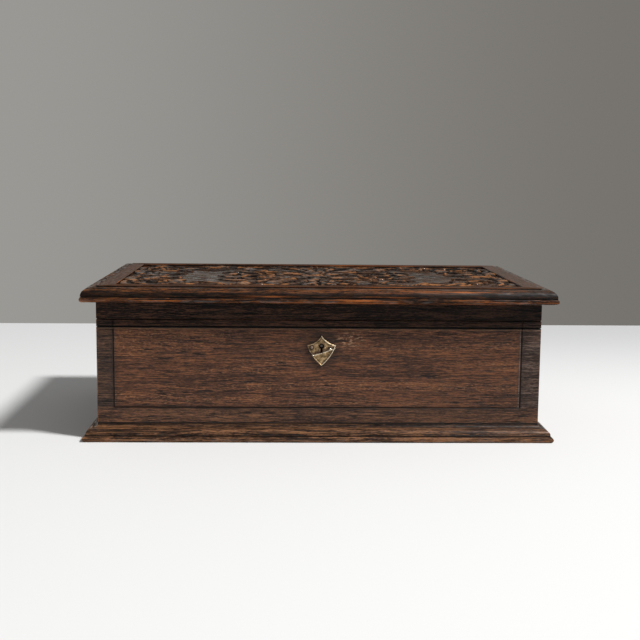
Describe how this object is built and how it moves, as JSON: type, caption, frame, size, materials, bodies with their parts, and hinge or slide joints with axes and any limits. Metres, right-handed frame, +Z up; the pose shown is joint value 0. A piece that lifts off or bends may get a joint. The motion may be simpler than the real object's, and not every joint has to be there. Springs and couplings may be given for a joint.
{
  "type": "keepsake box",
  "caption": "Low dark oak keepsake box with a hinged, moulded lid carved with foliage, a moulded base board and a box lock behind a brass shield escutcheon.",
  "frame": {"origin": "middle of the underside, on the surface the box stands on", "axes": "+X to the right seen from the front, +Y from the front to the back, +Z up"},
  "size_m": [0.3192, 0.1992, 0.1048],
  "materials": {
    "oak": "dark stained oak, worn wax",
    "moulded_oak": "dark stained oak, edges rubbed to orange",
    "aged_brass": "dull aged brass",
    "brass": "tarnished brass",
    "steel": "dull steel"
  },
  "bodies": {
    "box": {"base_board": "moulded_oak", "front_board": "oak", "back_board": "oak", "left_side_board": "oak", "right_side_board": "oak", "left_hinge_body_leaf": "brass", "left_hinge_pin": "brass", "right_hinge_body_leaf": "brass", "right_hinge_pin": "brass", "hinge_body_screws": "brass", "lock_case": "steel", "lock_plate": "brass", "lock_spring": "steel", "lock_key_pin": "steel", "lock_screws": "brass", "escutcheon": "aged_brass", "escutcheon_pins": "aged_brass", "base_screws": "steel"},
    "lid": {"lid_board": "moulded_oak", "lid_front_rail": "oak", "lid_back_rail": "oak", "lid_left_rail": "oak", "lid_right_rail": "oak", "left_hinge_lid_leaf": "brass", "right_hinge_lid_leaf": "brass", "hinge_lid_screws": "brass", "lid_link_plate": "brass", "link_plate_screws": "brass"},
    "bolt": {"lock_bolt": "steel"}
  },
  "joints": [
    {"name": "lid_hinge", "type": "hinge", "parent": "box", "child": "lid", "pos_m": [0, 0.0924, 0.07735], "axis": [-1, 0, 0], "range_deg": [0, 160]},
    {"name": "lock_bolt_slide", "type": "slide", "parent": "box", "child": "bolt", "axis": [1, 0, 0], "range_m": [0, 0.0045]}
  ]
}
